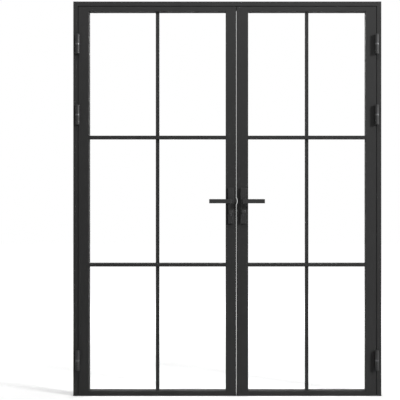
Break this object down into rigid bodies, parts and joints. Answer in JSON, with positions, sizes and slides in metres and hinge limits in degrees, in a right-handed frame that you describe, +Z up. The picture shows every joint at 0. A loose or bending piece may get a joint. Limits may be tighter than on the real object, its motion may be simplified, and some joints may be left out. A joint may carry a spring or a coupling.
{
  "type": "glass double door",
  "caption": "Slim dark metal double door of unequal leaves in its own frame, with glazed lights, lever handles on long plates, barrel hinges, a latch with dead bolt and a top bolt.",
  "frame": {"origin": "the middle of the door's width and of its overall depth, on the floor under the frame", "axes": "+X to the right as seen from the front, +Z up, and the front with the hinges faces -Y; the middle of the leaves' thickness is Y 0"},
  "size_m": [1.64, 0.15, 2.1],
  "materials": {
    "dark_paint": "satin powder coat",
    "dark_metal": "satin powder coat on the handles and hinges",
    "bright_steel": "brushed",
    "zinc_steel": "zinc plated",
    "dark_brass": "machined and black plated",
    "dark_steel": "turned and dark plated",
    "rubber": "matt",
    "dark_plastic": "matt",
    "glass": "clear"
  },
  "bodies": {
    "frame": {"left_jamb": "dark_paint", "right_jamb": "dark_paint", "head": "dark_paint", "head_keeper": "bright_steel", "frame_seals": "rubber", "left_frame_knuckles": "dark_metal", "right_frame_knuckles": "dark_metal", "hinge_pins": "bright_steel", "hinge_rings": "dark_steel"},
    "left_leaf": {"left_hinge_stile": "dark_paint", "left_top_rail": "dark_paint", "left_bottom_rail": "dark_paint", "left_cross_bars": "dark_paint", "left_upright_bars": "dark_paint", "left_panes": "glass", "left_glazing_gaskets": "rubber", "left_floor_brush": "dark_plastic", "left_leaf_knuckles": "dark_metal", "left_stile_plugs": "dark_plastic", "left_front_plate": "dark_metal", "left_back_plate": "dark_metal", "left_plate_screws": "zinc_steel", "left_lock_cylinder": "dark_brass", "left_lock_stile": "dark_paint", "left_meeting_seals": "rubber", "lock_case": "zinc_steel", "lock_forend": "bright_steel", "latch_pad": "dark_paint"},
    "left_lever": {"left_front_lever": "dark_metal", "left_back_lever": "dark_metal", "left_spindle": "zinc_steel", "lock_follower": "zinc_steel"},
    "left_turn": {"left_turn_knob": "dark_metal"},
    "latch_bolt": {"latch_bolt": "bright_steel"},
    "dead_bolt": {"dead_bolt": "bright_steel"},
    "right_leaf": {"right_hinge_stile": "dark_paint", "right_top_rail": "dark_paint", "right_bottom_rail": "dark_paint", "right_cross_bars": "dark_paint", "right_upright_bars": "dark_paint", "right_panes": "glass", "right_glazing_gaskets": "rubber", "right_floor_brush": "dark_plastic", "right_leaf_knuckles": "dark_metal", "right_stile_plugs": "dark_plastic", "right_front_plate": "dark_metal", "right_back_plate": "dark_metal", "right_plate_screws": "zinc_steel", "right_lock_cylinder": "dark_brass", "right_meeting_stile": "dark_paint", "drive_case": "zinc_steel", "strike_plate": "bright_steel", "latch_keep": "dark_paint", "keep_magnet": "bright_steel"},
    "right_lever": {"right_front_lever": "dark_metal", "right_back_lever": "dark_metal", "right_spindle": "zinc_steel", "drive_crank": "zinc_steel"},
    "right_turn": {"right_turn_knob": "dark_metal"},
    "top_bolt": {"top_bolt": "bright_steel"}
  },
  "joints": [
    {"name": "left_leaf_swing", "type": "hinge", "parent": "frame", "child": "left_leaf", "pos_m": [-0.7945, -0.034, 1.037], "axis": [0, 0, -1], "range_deg": [0, 170]},
    {"name": "right_leaf_swing", "type": "hinge", "parent": "frame", "child": "right_leaf", "pos_m": [0.7945, -0.034, 1.037], "axis": [0, 0, 1], "range_deg": [0, 170]},
    {"name": "left_lever_press", "type": "hinge", "parent": "left_leaf", "child": "left_lever", "pos_m": [0.0185, 0, 1.037], "axis": [0, -1, 0], "range_deg": [0, 45], "stiffness_Nm_per_rad": 1.2, "springref_deg": -28.65},
    {"name": "left_knob_turn", "type": "hinge", "parent": "left_leaf", "child": "left_turn", "pos_m": [0.0185, 0, 0.982], "axis": [0, 1, 0], "range_deg": [0, 90]},
    {"name": "dead_bolt_throw", "type": "slide", "parent": "left_leaf", "child": "dead_bolt", "axis": [1, 0, 0], "range_m": [0, 0.018]},
    {"name": "latch_bolt_throw", "type": "slide", "parent": "left_leaf", "child": "latch_bolt", "axis": [1, 0, 0], "range_m": [0, 0.01]},
    {"name": "right_lever_turn", "type": "hinge", "parent": "right_leaf", "child": "right_lever", "pos_m": [0.085, 0, 1.037], "axis": [0, 1, 0], "range_deg": [0, 90]},
    {"name": "top_bolt_throw", "type": "slide", "parent": "right_leaf", "child": "top_bolt", "axis": [0, 0, 1], "range_m": [0, 0.018]},
    {"name": "right_knob_turn", "type": "hinge", "parent": "right_leaf", "child": "right_turn", "pos_m": [0.085, 0, 0.982], "axis": [0, -1, 0], "range_deg": [0, 90]}
  ],
  "couplings": [
    {"joint": "dead_bolt_throw", "follows": "left_knob_turn", "m_per_rad": 0.011459},
    {"joint": "top_bolt_throw", "follows": "right_lever_turn", "m_per_rad": 0.011459}
  ]
}
